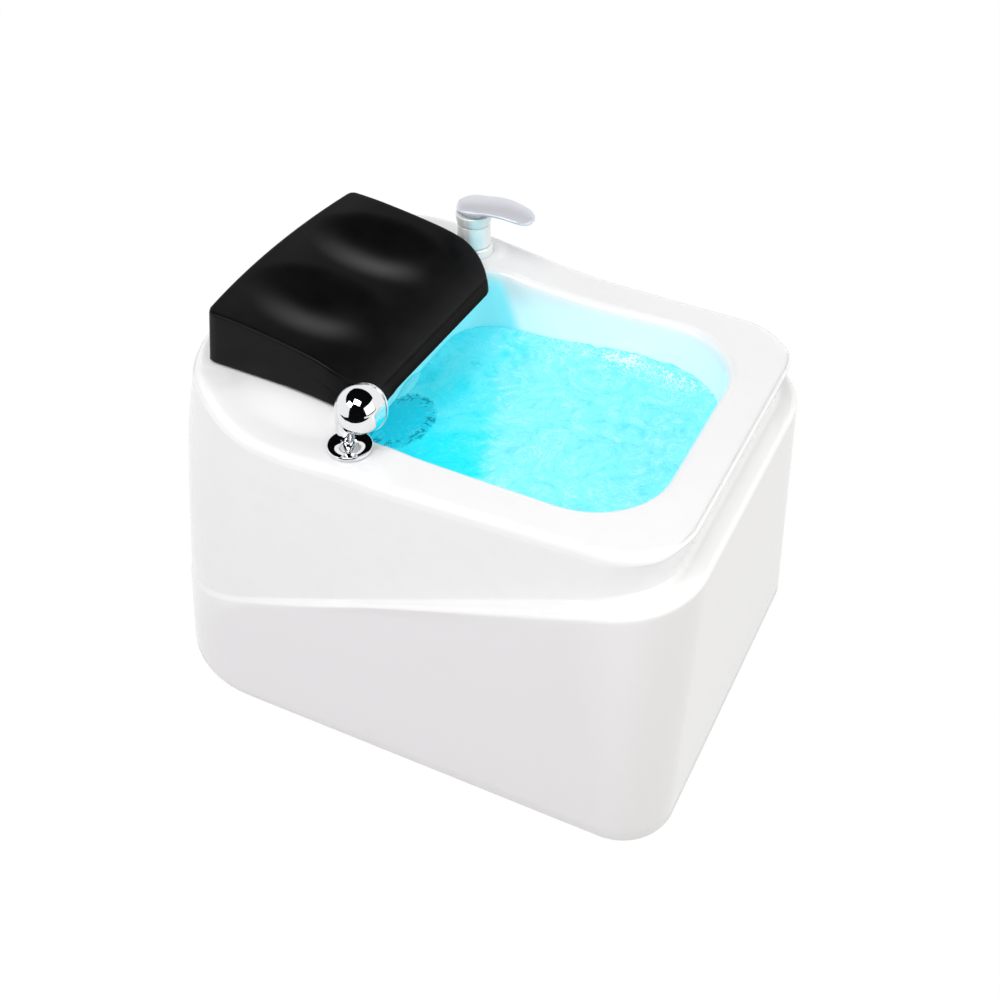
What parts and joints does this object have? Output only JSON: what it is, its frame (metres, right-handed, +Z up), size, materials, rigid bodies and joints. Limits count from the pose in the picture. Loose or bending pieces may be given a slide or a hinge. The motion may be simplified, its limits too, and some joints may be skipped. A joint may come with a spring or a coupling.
{
  "type": "pedicure spa foot bath",
  "caption": "Free-standing pedicure foot bath with a lift-off padded footrest, mixer tap, pull-out hand shower, pop-up drain and magnetic jet pump.",
  "frame": {"origin": "centre of the footprint, on the floor", "axes": "+X along the tub from the footrest end to the low end, +Y towards the mixer tap side, +Z up"},
  "size_m": [0.6997, 0.528, 0.51],
  "materials": {
    "board": "black board",
    "brass": "plain brass",
    "casing": "glossy white gel-coat",
    "chrome": "bright chrome plate",
    "frame": "grey powder coat",
    "inner": "grey moulding",
    "jet": "white moulding",
    "lens": "clear lens",
    "motor": "black moulding",
    "pad": "black integral-skin foam, satin",
    "rubber": "black",
    "shell": "glossy white acrylic and gel-coat",
    "spray": "grey spray plate",
    "steel": "zinc plated",
    "waste": "white waste fitting"
  },
  "bodies": {
    "tub": {"base_frame": "frame", "basin_shell": "shell", "basin_support_1": "frame", "basin_support_2": "frame", "button_body": "jet", "cold_pipe": "brass", "control_box": "motor", "drain_flange": "chrome", "drain_nut": "waste", "foot_locknut_1": "steel", "foot_locknut_2": "steel", "foot_locknut_3": "steel", "foot_locknut_4": "steel", "foot_pad_1": "rubber", "foot_pad_2": "rubber", "foot_pad_3": "rubber", "foot_pad_4": "rubber", "foot_stem_1": "steel", "foot_stem_2": "steel", "foot_stem_3": "steel", "foot_stem_4": "steel", "holder_gasket": "rubber", "holder_nut": "brass", "hot_pipe": "brass", "jet_housing": "jet", "jet_motor": "motor", "jet_nut": "jet", "light_housing": "jet", "light_lens": "lens", "light_nut": "jet", "mixed_pipe": "brass", "mixer_base_ring": "chrome", "mixer_body": "chrome", "mixer_cap": "chrome", "mixer_cartridge": "inner", "mixer_nut": "brass", "mixer_washer": "rubber", "outer_casing": "casing", "peg_grommet_1": "rubber", "peg_grommet_2": "rubber", "power_gland": "motor", "shower_holder": "chrome", "waste_tail": "waste"},
    "footrest": {"footrest_pad": "pad", "footrest_base": "board"},
    "turret": {"lever_turret": "brass"},
    "lever": {"lever_stem": "brass", "lever_handle": "chrome"},
    "swivel": {"hose_swivel": "brass"},
    "shower": {"shower_body": "chrome", "shower_face_ring": "chrome", "spray_face": "spray"},
    "stopper": {"drain_stopper": "chrome"},
    "impeller": {"jet_impeller": "jet"},
    "rotor": {"motor_magnet": "motor"},
    "cover": {"jet_cover": "jet"},
    "button": {"button_cap": "jet"}
  },
  "joints": [
    {"name": "footrest_lift", "type": "slide", "parent": "tub", "child": "footrest", "axis": [0, 0, 1], "range_m": [0, 0.1]},
    {"name": "mixer_turn", "type": "hinge", "parent": "tub", "child": "turret", "pos_m": [-0.097, 0.184, 0.487], "axis": [0, 0, 1], "range_deg": [-45, 45]},
    {"name": "mixer_lift", "type": "hinge", "parent": "turret", "child": "lever", "pos_m": [-0.097, 0.184, 0.487], "axis": [0, -1, 0], "range_deg": [0, 20]},
    {"name": "shower_pull", "type": "slide", "parent": "tub", "child": "swivel", "axis": [0, 0, 1], "range_m": [0, 0.15]},
    {"name": "shower_turn", "type": "hinge", "parent": "swivel", "child": "shower", "pos_m": [-0.054, -0.193, 0.4], "axis": [0, 0, 1], "range_deg": [-170, 170]},
    {"name": "stopper_lift", "type": "slide", "parent": "tub", "child": "stopper", "axis": [0, 0, 1], "range_m": [0, 0.008]},
    {"name": "rotor_spin", "type": "hinge", "parent": "tub", "child": "rotor", "pos_m": [-0.13, 0, 0.3], "axis": [1, 0, 0], "continuous": true},
    {"name": "impeller_spin", "type": "hinge", "parent": "tub", "child": "impeller", "pos_m": [-0.11, 0, 0.3], "axis": [1, 0, 0], "continuous": true},
    {"name": "jet_cover_off", "type": "slide", "parent": "tub", "child": "cover", "axis": [1, 0, 0], "range_m": [0, 0.04]},
    {"name": "button_press", "type": "slide", "parent": "tub", "child": "button", "axis": [0.9948, 0, -0.1017], "range_m": [0, 0.003], "stiffness_N_per_m": 900}
  ],
  "couplings": [
    {"joint": "impeller_spin", "follows": "rotor_spin", "ratio": 1}
  ]
}
